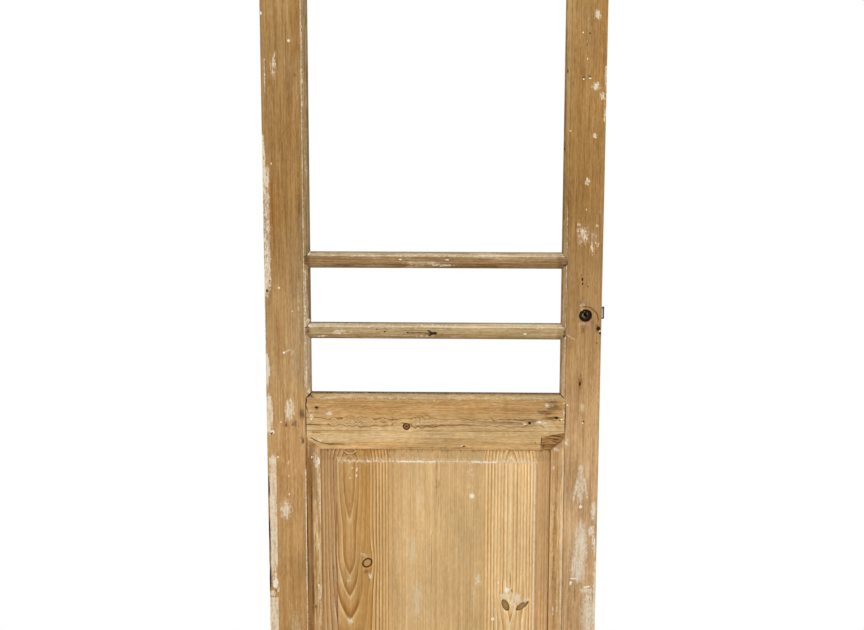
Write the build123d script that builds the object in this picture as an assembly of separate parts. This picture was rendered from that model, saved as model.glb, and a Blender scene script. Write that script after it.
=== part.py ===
# Part-glazed door leaf in stripped pine, with a mortice latch let into its lock stile.
# The leaf hangs in the XZ plane: X runs from the hinge edge to the lock edge, the front faces -Y and Z is up.
# The origin is on the hinge edge, at the bottom of the leaf and in the middle of its thickness.
from build123d import *
import math
import os

os.makedirs("parts", exist_ok=True)

# Leaf, in millimetres
door_width = 762.0
door_height = 1981.0
door_thickness = 40.0

# Flat faces of the framing, and the widths of its rails and bars from edge to edge
hinge_stile_face_width = 90.0
lock_stile_face_width = 78.0
top_rail_width = 110.0
lock_rail_width = 135.0
bottom_rail_width = 215.0
bar_width = 36.5
lock_rail_top = 818.0
small_light_height = 125.5

# Ovolo moulding and square rebate round the lights
framing_ovolo_width = 13.0
bar_ovolo_width = 11.0
ovolo_radius = 8.0
quirk_step = 2.0
glazing_nose = 8.0
rebate_width = 9.0

# Ogee moulding round the panel, on both faces, and the groove that holds the panel
ogee_width = 31.0
ogee_fillet = 4.0
ogee_lip = 2.0
ogee_depth = 13.0
groove_width = 8.0
groove_depth = 10.0

# Raised and fielded panel, glued up from four boards
panel_play = 1.0
field_offset = 3.5
field_setback = 4.0
field_step = 3.0
field_margin_side = 34.0
field_margin_end = 28.5
board_joints = (279.0, 391.5, 501.5)

# Wedged through tenons of the rails and stub tenons of the bars
tenon_thickness = 12.0
tenon_shoulder = 10.0
haunch_width = 40.0
wedge_length = 55.0
wedge_thick_end = 6.0
wedge_thin_end = 1.0
stub_tenon_length = 16.0
stub_tenon_height = 11.0

# Repair let into the lock rail at the panel's upper lock-side corner
patch_length = 54.5
patch_height = 35.0
patch_rise = 10.0
patch_depth = 15.0

# Wear and damage: an opened mitre, a rounded corner of the field, and bites knocked out of the stiles' outer arrises,
# each with the height of its middle, its length along the arris and its depth across it
mitre_gap_width = 2.2
mitre_gap_run = 26.0
mitre_gap_depth = 12.0
worn_corner_radius = 11.0
hinge_edge_bites = ((727.0, 16.0, 1.8), (598.0, 44.0, 1.0), (453.0, 56.0, 1.9), (398.0, 40.0, 2.2), (334.0, 24.0, 1.6))
lock_edge_bites = ((523.0, 34.0, 1.1), (335.0, 46.0, 1.4))
bite_span = 40.0

# Recesses for a pair of butt hinges, open to the back of the leaf
hinge_leaf_length = 100.0
hinge_leaf_width = 28.0
hinge_leaf_thickness = 3.0
upper_hinge_from_top = 150.0
lower_hinge_from_bottom = 225.0
hinge_screw_spacing = 76.0
hinge_screw_gauge = 12.0
hinge_screw_hole_radius = 2.0
hinge_screw_hole_depth = 28.0

# Mortice latch
spindle_height = 1000.0
spindle_backset = 36.0
spindle_hole_radius = 15.0
case_depth = 57.0
case_height = 60.0
case_thickness = 15.0
case_wall = 1.5
forend_length = 110.0
forend_width = 22.0
forend_thickness = 3.0
forend_screw_inset = 9.0
screw_head_radius = 4.0
screw_head_height = 2.0
screw_shank_radius = 1.8
screw_length = 25.0
screw_clearance = 0.2
latch_throw = 8.0
bolt_height = 28.0
bolt_thickness = 10.8
bolt_rise = 4.0
bolt_nose = 2.0
bolt_fit = 0.2
bolt_heel = 19.5
fork_thickness = 4.0
fork_arm_height = 3.2
fork_toe_length = 4.0
fork_toe_gap = 0.7
hub_radius = 9.0
hub_fit = 0.05
hub_toe_clearance = 0.5
spindle_square = 8.0
lug_width = 5.0
lug_reach = 14.0
lug_clearance = 0.6

# Levels and edges that follow from the sizes above
front = -door_thickness / 2
back = door_thickness / 2
hinge_shoulder = hinge_stile_face_width
lock_shoulder = door_width - lock_stile_face_width
lock_rail_bottom = lock_rail_top - lock_rail_width
light_levels = [
    (lock_rail_top, lock_rail_top + small_light_height),
    (lock_rail_top + small_light_height + bar_width, lock_rail_top + 2 * small_light_height + bar_width),
    (lock_rail_top + 2 * (small_light_height + bar_width), door_height - top_rail_width),
]
bar_levels = [(light_levels[0][1], light_levels[1][0]), (light_levels[1][1], light_levels[2][0])]
rebate_front = front + quirk_step + ovolo_radius + glazing_nose
panel_left = hinge_shoulder + ogee_width
panel_right = lock_shoulder - ogee_width
spindle_x = door_width - spindle_backset
case_front = door_width - forend_thickness
case_back = case_front - case_depth
case_middle = spindle_height + bolt_rise / 2
# Room that a cutting tool has past the faces it leaves
overrun = 2.0


def block(x, y, z):
    """Box between the pairs of limits x, y and z."""
    centre = [(low + high) / 2 for low, high in (x, y, z)]
    return Pos(*centre) * Box(x[1] - x[0], y[1] - y[0], z[1] - z[0])


def face_prism(outline, y_from, y_to):
    """Prism whose outline is drawn on the face of the leaf, as X and Z, and which runs from y_from to y_to."""
    wire = Wire.make_polygon([(x, y_from, z) for x, z in outline], close=True)
    return extrude(Face(wire), amount=y_to - y_from, dir=(0, 1, 0))


def round_bar(radius, x, y, z, y_length):
    """Round bar along Y, centred on x, y, z."""
    return Pos(x, y, z) * Rot(90, 0, 0) * Cylinder(radius, y_length)


def ovolo_waste(width):
    """Section that the ovolo plane takes off: from the shoulder line outwards, and down from the face."""
    start = width - ovolo_radius
    floor = quirk_step + ovolo_radius
    centre = (start, floor)
    crown = (centre[0] + ovolo_radius * math.sin(math.pi / 4), centre[1] - ovolo_radius * math.cos(math.pi / 4))
    return make_face(
        Polyline((start, quirk_step), (0, quirk_step), (0, -overrun), (width + overrun, -overrun),
                 (width + overrun, floor), (width, floor))
        + ThreePointArc((width, floor), crown, (start, quirk_step))
    )


def ogee_waste(width):
    """Section that the ogee plane takes off: two equal arcs, round above and hollow below."""
    start = (ogee_fillet, quirk_step)
    end = (width - ogee_lip, ogee_depth)
    run = (end[0] - start[0]) / 2
    drop = (end[1] - start[1]) / 2
    radius = (run**2 + drop**2) / (2 * drop)
    half_angle = math.asin(run / radius) / 2
    side = radius * math.sin(half_angle)
    dip = radius * (1 - math.cos(half_angle))
    middle = (start[0] + run, start[1] + drop)
    round_part = ThreePointArc(start, (start[0] + side, start[1] + dip), middle)
    hollow_part = ThreePointArc(middle, (end[0] - side, end[1] - dip), end)
    return make_face(
        Polyline(start, (0, quirk_step), (0, -overrun), (width + overrun, -overrun),
                 (width + overrun, ogee_depth), end)
        + round_part
        + hollow_part
    )


def run_along(section, middle, outwards, into, length):
    """The section run both ways from the middle of an edge, its x outwards and its y into the wood."""
    out = Vector(*outwards)
    plane = Plane(origin=middle, x_dir=out, z_dir=out.cross(Vector(*into)))
    return extrude(plane * section, amount=length / 2, both=True)


def glazed_edge(edge_x, edge_z, outwards, width, length):
    """Waste of one edge that faces a light: an ovolo in front and a square rebate behind."""
    ovolo = run_along(ovolo_waste(width), (edge_x, front, edge_z), outwards, (0, 1, 0), length)
    rebate = make_face(Polyline((width - rebate_width, 0), (width + overrun, 0),
                                (width + overrun, back - rebate_front + overrun),
                                (width - rebate_width, back - rebate_front + overrun), close=True))
    return ovolo + run_along(rebate, (edge_x, rebate_front, edge_z), outwards, (0, 1, 0), length)


def panelled_edge(edge_x, edge_z, outwards, length):
    """Waste of one edge that faces the panel: an ogee on each face and the groove between them."""
    waste = run_along(ogee_waste(ogee_width), (edge_x, front, edge_z), outwards, (0, 1, 0), length)
    waste += run_along(ogee_waste(ogee_width), (edge_x, back, edge_z), outwards, (0, -1, 0), length)
    groove = make_face(Polyline((ogee_width - groove_depth, 0), (ogee_width + overrun, 0),
                                (ogee_width + overrun, groove_width),
                                (ogee_width - groove_depth, groove_width), close=True))
    return waste + run_along(groove, (edge_x, -groove_width / 2, edge_z), outwards, (0, 1, 0), length)


def tenon_span(bottom, top):
    """Height limits of a rail's tenons between the rail's flat edges."""
    return bottom + tenon_shoulder, top - tenon_shoulder


def flared(outer, inner, bottom, top, outer_spread, inner_spread):
    """Tenon or mortice outline that spreads from inner to outer, where the wedges go in."""
    return [(inner, bottom - inner_spread), (outer, bottom - outer_spread),
            (outer, top + outer_spread), (inner, top + inner_spread)]


# Rails' tenons by name: the flat face of the rail from bottom to top, without its mouldings
rail_flats = {
    "bottom_rail": (0.0, bottom_rail_width - ogee_width),
    "lock_rail": (lock_rail_bottom + ogee_width, lock_rail_top - framing_ovolo_width),
    "top_rail": (door_height - top_rail_width + framing_ovolo_width, door_height),
}
tenon_levels = {
    "bottom_rail": tenon_span(rail_flats["bottom_rail"][0] + haunch_width, rail_flats["bottom_rail"][1]),
    "lock_rail": tenon_span(*rail_flats["lock_rail"]),
    "top_rail": tenon_span(rail_flats["top_rail"][0], rail_flats["top_rail"][1] - haunch_width),
}
# The two stiles' edges: where the tenon comes out, the shoulder line, and the way from the edge into the leaf
stile_sides = {"hinge": (0.0, hinge_shoulder, 1), "lock": (door_width, lock_shoulder, -1)}


def mortices(side):
    """Waste of one stile's through mortices, flared at the outer edge for the wedges, and of its stub mortices."""
    outer, shoulder, inwards = stile_sides[side]
    wedge_root = outer + inwards * wedge_length
    waste = None
    for bottom, top in tenon_levels.values():
        straight = block(sorted((outer, shoulder)), (-tenon_thickness / 2, tenon_thickness / 2), (bottom, top))
        flare = face_prism(flared(outer, wedge_root, bottom, top, wedge_thick_end, wedge_thin_end),
                           -tenon_thickness / 2, tenon_thickness / 2)
        waste = straight + flare if waste is None else waste + straight + flare
    for bar_bottom, bar_top in bar_levels:
        waste += stub_tenon(side, (bar_bottom + bar_top) / 2)
    return waste


def stub_tenon(side, middle):
    """Stub tenon of a glazing bar in one stile."""
    outer, shoulder, inwards = stile_sides[side]
    tip = shoulder - inwards * stub_tenon_length
    return block(sorted((tip, shoulder)), (-tenon_thickness / 2, tenon_thickness / 2),
                 (middle - stub_tenon_height / 2, middle + stub_tenon_height / 2))


def stile_outline(side):
    """Front outline of a stile: its flat face and the mitred ends of its mouldings."""
    outer, shoulder, inwards = stile_sides[side]
    glazed = shoulder + inwards * framing_ovolo_width
    panelled = shoulder + inwards * ogee_width
    outline = [(outer, 0), (shoulder, 0), (shoulder, bottom_rail_width - ogee_width),
               (panelled, bottom_rail_width), (panelled, lock_rail_bottom),
               (shoulder, lock_rail_bottom + ogee_width)]
    for number, (bottom, top) in enumerate(light_levels):
        below = framing_ovolo_width if number == 0 else bar_ovolo_width
        above = framing_ovolo_width if number == len(light_levels) - 1 else bar_ovolo_width
        outline += [(shoulder, bottom - below), (glazed, bottom), (glazed, top), (shoulder, top + above)]
    return outline + [(shoulder, door_height), (outer, door_height)]


def hinge_centres():
    """Heights of the middles of the two hinge recesses."""
    upper = door_height - upper_hinge_from_top - hinge_leaf_length / 2
    return upper, lower_hinge_from_bottom + hinge_leaf_length / 2


def hinge_recess(middle):
    """Waste of one hinge recess, with four screw holes in a rectangle."""
    front_edge = back - hinge_leaf_width
    waste = block((-overrun, hinge_leaf_thickness), (front_edge, back + overrun),
                  (middle - hinge_leaf_length / 2, middle + hinge_leaf_length / 2))
    for side_step in (-hinge_screw_gauge / 2, hinge_screw_gauge / 2):
        for height_step in (-hinge_screw_spacing / 2, hinge_screw_spacing / 2):
            hole = Cylinder(hinge_screw_hole_radius, hinge_screw_hole_depth + hinge_leaf_thickness)
            waste += Pos((hinge_screw_hole_depth + hinge_leaf_thickness) / 2,
                         front_edge + hinge_leaf_width / 2 + side_step,
                         middle + height_step) * Rot(0, 90, 0) * hole
    return waste


def edge_bites(side, bites):
    """Waste of shallow bites across a stile's front outer arris, each a slice of a large cylinder."""
    outer, shoulder, inwards = stile_sides[side]
    waste = None
    for height, length, depth in bites:
        radius = ((length / 2) ** 2 + depth**2) / (2 * depth)
        stand_off = (radius - depth) / math.sqrt(2)
        middle = Plane(origin=(outer - inwards * stand_off, front - stand_off, height), z_dir=(inwards, -1, 0))
        bite = middle * Cylinder(radius, bite_span)
        waste = bite if waste is None else waste + bite
    return waste


def stile(side):
    """One stile with its mouldings, rebate, groove and mortices."""
    outer, shoulder, inwards = stile_sides[side]
    outwards = (inwards, 0, 0)
    glazed_bottom, glazed_top = rail_flats["lock_rail"][1], rail_flats["top_rail"][0]
    panel_bottom, panel_top = rail_flats["bottom_rail"][1], rail_flats["lock_rail"][0]
    blank = face_prism(stile_outline(side), front, back)
    blank -= glazed_edge(shoulder, (glazed_bottom + glazed_top) / 2, outwards, framing_ovolo_width,
                         glazed_top - glazed_bottom)
    blank -= panelled_edge(shoulder, (panel_bottom + panel_top) / 2, outwards, panel_top - panel_bottom)
    return blank - mortices(side)


def hinge_stile():
    """Stile on the hinge side, with the recesses of its two hinges."""
    solid = stile("hinge") - edge_bites("hinge", hinge_edge_bites)
    for middle in hinge_centres():
        solid -= hinge_recess(middle)
    return solid


def lock_stile():
    """Stile on the lock side, with the mortice of the latch and the hole of its spindle."""
    solid = stile("lock") - edge_bites("lock", lock_edge_bites)
    solid -= block((case_back, door_width), (-case_thickness / 2, case_thickness / 2),
                   (case_middle - case_height / 2, case_middle + case_height / 2))
    solid -= block((case_front, door_width + overrun), (-forend_width / 2, forend_width / 2),
                   (case_middle - forend_length / 2, case_middle + forend_length / 2))
    solid -= round_bar(spindle_hole_radius, spindle_x, 0, spindle_height, door_thickness + 2 * overrun)
    for level in forend_screw_levels():
        solid -= edge_bar(screw_shank_radius + screw_clearance, door_width - screw_length, door_width, level)
    return solid


def rail_outline(bottom, top, below, above):
    """Front outline of a rail or bar between the shoulder lines, its moulded edges cut back to the mitres."""
    outline = [(hinge_shoulder, bottom + below)]
    if below:
        outline += [(hinge_shoulder + mitre_run(below), bottom), (lock_shoulder - mitre_run(below), bottom)]
    outline += [(lock_shoulder, bottom + below), (lock_shoulder, top - above)]
    if above:
        outline += [(lock_shoulder - mitre_run(above), top), (hinge_shoulder + mitre_run(above), top)]
    return outline + [(hinge_shoulder, top - above)]


def mitre_run(moulding):
    """Width of the stile's moulding where one of the given width meets it."""
    return ogee_width if moulding == ogee_width else framing_ovolo_width


def through_tenons(name):
    """Tenons of one rail through both stiles, spread at their ends by the wedges' shape left out of them."""
    bottom, top = tenon_levels[name]
    solid = None
    for outer, shoulder, inwards in stile_sides.values():
        tenon = block(sorted((outer, shoulder)), (-tenon_thickness / 2, tenon_thickness / 2), (bottom, top))
        solid = tenon if solid is None else solid + tenon
    return solid


def rail(name, bottom, top, below, above):
    """One rail: its outline, the waste of its moulded edges, and its tenons."""
    length = lock_shoulder - hinge_shoulder
    middle_x = (hinge_shoulder + lock_shoulder) / 2
    solid = face_prism(rail_outline(bottom, top, below, above), front, back)
    if below == ogee_width:
        solid -= panelled_edge(middle_x, bottom + below, (0, 0, -1), length)
    elif below:
        solid -= glazed_edge(middle_x, bottom + below, (0, 0, -1), below, length)
    if above == ogee_width:
        solid -= panelled_edge(middle_x, top - above, (0, 0, 1), length)
    elif above:
        solid -= glazed_edge(middle_x, top - above, (0, 0, 1), above, length)
    return solid + through_tenons(name) if name in tenon_levels else solid


def glazing_bar(levels):
    """One glazing bar, moulded and rebated on both edges, with its stub tenons."""
    solid = rail("glazing_bar", *levels, bar_ovolo_width, bar_ovolo_width)
    for side in stile_sides:
        solid += stub_tenon(side, sum(levels) / 2)
    return solid


def wedges(side, name):
    """The two wedges that spread one tenon in its mortice, driven in from the stile's outer edge."""
    outer, shoulder, inwards = stile_sides[side]
    root = outer + inwards * wedge_length
    bottom, top = tenon_levels[name]
    pair = []
    for level, way in ((bottom, -1), (top, 1)):
        outline = [(outer, level), (outer, level + way * wedge_thick_end), (root, level + way * wedge_thin_end),
                   (root, level)]
        pair.append(face_prism(outline, -tenon_thickness / 2, tenon_thickness / 2))
    return Compound(children=pair)


def patch_prism():
    """Outline of the repair, from the lock-side shoulder line back along the rail, down to its mitre."""
    start = lock_shoulder - patch_length
    outline = [(start, lock_rail_bottom), (start, lock_rail_bottom + patch_height),
               (lock_shoulder, lock_rail_bottom + patch_height + patch_rise),
               (lock_shoulder, lock_rail_bottom + ogee_width), (panel_right, lock_rail_bottom)]
    return face_prism(outline, front, front + patch_depth)


def mitre_gap():
    """Waste of the opened mitre at the lock rail's upper hinge-side corner, narrowing down the shoulder line."""
    top, flat_top = lock_rail_top, rail_flats["lock_rail"][1]
    light_side = hinge_shoulder + framing_ovolo_width
    outline = [(light_side, top), (light_side + mitre_gap_width, top), (hinge_shoulder + mitre_gap_width, flat_top),
               (hinge_shoulder, flat_top - mitre_gap_run), (hinge_shoulder, flat_top)]
    return face_prism(outline, front - overrun, front + mitre_gap_depth)


def raised_panel():
    """The whole panel: a tongue all round, sloping margins and a raised field, flat behind."""
    tongue = groove_depth - panel_play
    tongue_front = -groove_width / 2
    left, right = panel_left + field_offset, panel_right + field_offset
    bottom, top = bottom_rail_width, lock_rail_bottom
    field_face = front + field_setback
    solid = block((panel_left - tongue, panel_right + tongue), (tongue_front, groove_width / 2),
                  (bottom - tongue, top + tongue))
    solid += block((panel_left, panel_right), (field_face, tongue_front), (bottom, top))
    slope_foot = field_face + field_step
    middle_x, middle_z = (left + right) / 2, (bottom + top) / 2
    rise = tongue_front - slope_foot
    long_run = 2 * max(right - left, top - bottom)
    for middle, outwards, margin in (
        ((left, field_face, middle_z), (1, 0, 0), field_margin_side),
        ((right, field_face, middle_z), (-1, 0, 0), field_margin_side),
        ((middle_x, field_face, bottom), (0, 0, 1), field_margin_end),
        ((middle_x, field_face, top), (0, 0, -1), field_margin_end),
    ):
        waste = make_face(Polyline((0, field_step + rise), (margin, field_step), (margin, -overrun),
                                   (-2 * field_offset - overrun, -overrun), (-2 * field_offset - overrun, field_step + rise),
                                   close=True))
        solid -= run_along(waste, middle, outwards, (0, 1, 0), long_run)
    return solid - worn_corner(right - field_margin_side, top - field_margin_end, slope_foot)


def worn_corner(corner_x, corner_z, foot):
    """Waste that rounds the field's upper lock-side corner, down to the foot of its step."""
    inner_x, inner_z = corner_x - worn_corner_radius, corner_z - worn_corner_radius
    square = block((inner_x, corner_x + overrun), (front, foot), (inner_z, corner_z + overrun))
    return square - round_bar(worn_corner_radius, inner_x, (front + foot) / 2, inner_z, foot - front)


def panel_boards():
    """The panel cut into its glued boards, from the hinge side to the lock side."""
    panel = raised_panel()
    cuts = [0.0, *board_joints, door_width]
    names = ("panel_board_hinge_side", "panel_board_middle_left", "panel_board_middle_right",
             "panel_board_lock_side")
    return {name: panel & block((low, high), (front, back), (0, door_height))
            for name, low, high in zip(names, cuts, cuts[1:])}


def edge_bar(radius, x_from, x_to, level):
    """Round bar along X in the middle of the lock edge."""
    return Pos((x_from + x_to) / 2, 0, level) * Rot(0, 90, 0) * Cylinder(radius, x_to - x_from)


def forend_screw_levels():
    """Heights of the forend's two screws."""
    reach = forend_length / 2 - forend_screw_inset
    return case_middle - reach, case_middle + reach


def bolt_level():
    """Height of the middle of the bolt."""
    return spindle_height + bolt_rise


def bolt_window():
    """Waste of the opening through which the bolt slides."""
    return block((case_front - overrun, door_width + overrun),
                 (-bolt_thickness / 2 - bolt_fit, bolt_thickness / 2 + bolt_fit),
                 (bolt_level() - bolt_height / 2 - bolt_fit, bolt_level() + bolt_height / 2 + bolt_fit))


def latch_case():
    """Open box of the latch: its back plate and its rim, without the cover and the forend."""
    half = case_thickness / 2
    shell = block((case_back, case_front), (-half + case_wall, half),
                  (case_middle - case_height / 2, case_middle + case_height / 2))
    shell -= block((case_back + case_wall, case_front + overrun), (-half, half - case_wall),
                   (case_middle - case_height / 2 + case_wall, case_middle + case_height / 2 - case_wall))
    return shell - round_bar(hub_radius + hub_fit, spindle_x, half, spindle_height, 4 * case_wall)


def latch_case_cover():
    """Front plate of the case, with the other bearing of the follower."""
    half = case_thickness / 2
    plate = block((case_back, case_front), (-half, -half + case_wall),
                  (case_middle - case_height / 2, case_middle + case_height / 2))
    return plate - round_bar(hub_radius + hub_fit, spindle_x, -half, spindle_height, 4 * case_wall)


def forend():
    """Face plate let into the lock edge, with the bolt's window and two counterbored holes."""
    plate = block((case_front, door_width), (-forend_width / 2, forend_width / 2),
                  (case_middle - forend_length / 2, case_middle + forend_length / 2))
    plate -= bolt_window()
    for level in forend_screw_levels():
        plate -= edge_bar(screw_shank_radius + screw_clearance, case_front - overrun, door_width, level)
        plate -= edge_bar(screw_head_radius + screw_clearance, door_width - screw_head_height,
                          door_width + overrun, level)
    return plate


def forend_screws():
    """The two screws of the forend."""
    screws = []
    for level in forend_screw_levels():
        shank = edge_bar(screw_shank_radius, door_width - screw_length, door_width - screw_head_height, level)
        screws.append(shank + edge_bar(screw_head_radius, door_width - screw_head_height, door_width, level))
    return Compound(children=screws)


def latch_bolt():
    """Bevelled bolt with the forked tail that the follower draws back."""
    heel = spindle_x + bolt_heel
    tip = door_width + latch_throw
    half = bolt_thickness / 2
    level = bolt_level()
    head = block((heel, tip), (-half, half), (level - bolt_height / 2, level + bolt_height / 2))
    bevel = Polyline((door_width, -half), (tip, half - bolt_nose), (tip + overrun, half - bolt_nose),
                     (tip + overrun, -half - overrun), (door_width, -half - overrun), close=True)
    head -= Pos(0, 0, level - bolt_height) * extrude(make_face(bevel), amount=2 * bolt_height)
    inner = math.hypot(lug_reach, lug_width / 2) + lug_clearance
    outer = inner + fork_arm_height
    toe_face = -lug_width / 2 - fork_toe_gap
    toe_height = hub_radius + hub_toe_clearance
    thickness = (-fork_thickness / 2, fork_thickness / 2)
    tail = block((heel, heel + fork_toe_length), thickness, (spindle_height - outer, spindle_height + outer))
    for way in (1, -1):
        arm_levels = sorted((spindle_height + way * inner, spindle_height + way * outer))
        toe_levels = sorted((spindle_height + way * toe_height, spindle_height + way * outer))
        tail += block((spindle_x + toe_face - fork_toe_length, heel), thickness, arm_levels)
        tail += block((spindle_x + toe_face - fork_toe_length, spindle_x + toe_face), thickness, toe_levels)
    return head + tail


def follower():
    """Hub that the spindle turns, with a lug above and a lug below."""
    hub = round_bar(hub_radius, spindle_x, 0, spindle_height, case_thickness)
    hub += block((spindle_x - lug_width / 2, spindle_x + lug_width / 2),
                 (-fork_thickness / 2, fork_thickness / 2),
                 (spindle_height - lug_reach, spindle_height + lug_reach))
    half = spindle_square / 2
    return hub - block((spindle_x - half, spindle_x + half), (-case_thickness, case_thickness),
                       (spindle_height - half, spindle_height + half))


def nodes():
    """Every sub-part by the name of its node."""
    parts = {"hinge_stile": hinge_stile(), "lock_stile": lock_stile()}
    parts["top_rail"] = rail("top_rail", door_height - top_rail_width, door_height, framing_ovolo_width, 0)
    parts["upper_glazing_bar"] = glazing_bar(bar_levels[1])
    parts["lower_glazing_bar"] = glazing_bar(bar_levels[0])
    whole_lock_rail = rail("lock_rail", lock_rail_bottom, lock_rail_top, ogee_width, framing_ovolo_width)
    whole_lock_rail -= mitre_gap()
    parts["lock_rail"] = whole_lock_rail - patch_prism()
    parts["lock_rail_patch"] = whole_lock_rail & patch_prism()
    parts["bottom_rail"] = rail("bottom_rail", 0, bottom_rail_width, 0, ogee_width)
    parts.update(panel_boards())
    for side in stile_sides:
        for name in tenon_levels:
            parts[f"{name}_wedges_{side}_side"] = wedges(side, name)
    parts["latch_case"] = latch_case()
    parts["latch_case_cover"] = latch_case_cover()
    parts["forend_plate"] = forend()
    parts["forend_screws"] = forend_screws()
    parts["latch_bolt"] = latch_bolt()
    parts["latch_follower"] = follower()
    return parts


for node, shape in nodes().items():
    export_step(shape, f"parts/{node}.step")
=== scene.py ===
# Looks of a stripped pine door leaf with open lights, a raised panel and an old mortice latch.
# Sizes in the dictionaries are millimetres on the leaf: x from the hinge edge, z from the bottom, front at y -20.
import math

import bpy
import numpy as np
from mathutils import Matrix, Vector


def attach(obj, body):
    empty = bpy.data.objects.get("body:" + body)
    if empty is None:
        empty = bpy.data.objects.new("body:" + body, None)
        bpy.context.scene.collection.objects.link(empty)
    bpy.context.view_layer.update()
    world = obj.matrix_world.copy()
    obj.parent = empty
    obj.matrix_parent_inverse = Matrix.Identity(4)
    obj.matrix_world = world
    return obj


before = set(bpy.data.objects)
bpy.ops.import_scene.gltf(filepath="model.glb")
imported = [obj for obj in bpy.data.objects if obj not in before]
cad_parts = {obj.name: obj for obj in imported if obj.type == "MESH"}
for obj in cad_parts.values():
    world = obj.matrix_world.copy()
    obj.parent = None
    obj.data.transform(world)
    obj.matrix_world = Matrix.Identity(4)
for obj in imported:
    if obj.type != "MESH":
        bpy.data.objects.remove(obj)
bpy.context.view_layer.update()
print("frame loaded:", len(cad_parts), "nodes")

millimetre = 0.001
perMetre = 1000
leaf = {"width": 762.0, "height": 1981.0, "front": -20.0}
leafMiddle = {"x": leaf["width"] / 2, "z": leaf["height"] / 2}


def linear(colour):
    # An 8-bit screen colour as the light values that Blender's sockets take
    parts = [part / 255 for part in colour]
    return tuple(part / 12.92 if part <= 0.04045 else ((part + 0.055) / 1.055) ** 2.4 for part in parts)


def addObject(name, data):
    thing = bpy.data.objects.new(name, data)
    bpy.context.collection.objects.link(thing)
    return thing


def dress(nodeName, material):
    # A node of the solids keeps its mesh and place, and takes a finish
    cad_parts[nodeName].data.materials[0] = material


# Camera: place in metres, turns in degrees and lens in mm, found from how the leaf's edges converge
camera = {"place": (0.4475, -3.1442, 1.5213), "pitch": 9.471, "yaw": -1.254, "roll": 0.109,
          "lens": 58.333, "sensor": 36}


def addCamera(look):
    pitch, yaw, roll = (math.radians(look[key]) for key in ("pitch", "yaw", "roll"))
    turns = ((-yaw, "Z"), (math.pi / 2 - pitch, "X"), (roll, "Z"))
    aside, down, rolled = (Matrix.Rotation(angle, 4, axis) for angle, axis in turns)
    data = bpy.data.cameras.new("viewCamera")
    data.sensor_width = look["sensor"]
    data.lens = look["lens"]
    eye = addObject("viewCamera", data)
    eye.matrix_world = Matrix.Translation(look["place"]) @ aside @ down @ rolled
    bpy.context.scene.camera = eye


addCamera(camera)
bpy.context.scene.view_settings.view_transform = "Standard"
print("camera set")


class Wire:
    # A socket in a sum, where each operator adds one Math node to the same material
    def __init__(self, bench, socket):
        self.bench = bench
        self.socket = socket

    def __abs__(self):
        return self.bench.reckon("ABSOLUTE", self)


# The four operators, and their mirrors for a number on the left of a wire
for sign, operation in (("add", "ADD"), ("sub", "SUBTRACT"), ("mul", "MULTIPLY"), ("truediv", "DIVIDE")):
    setattr(Wire, f"__{sign}__", lambda wire, other, kind=operation: wire.bench.reckon(kind, wire, other))
    setattr(Wire, f"__r{sign}__", lambda wire, other, kind=operation: wire.bench.reckon(kind, other, wire))


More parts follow.
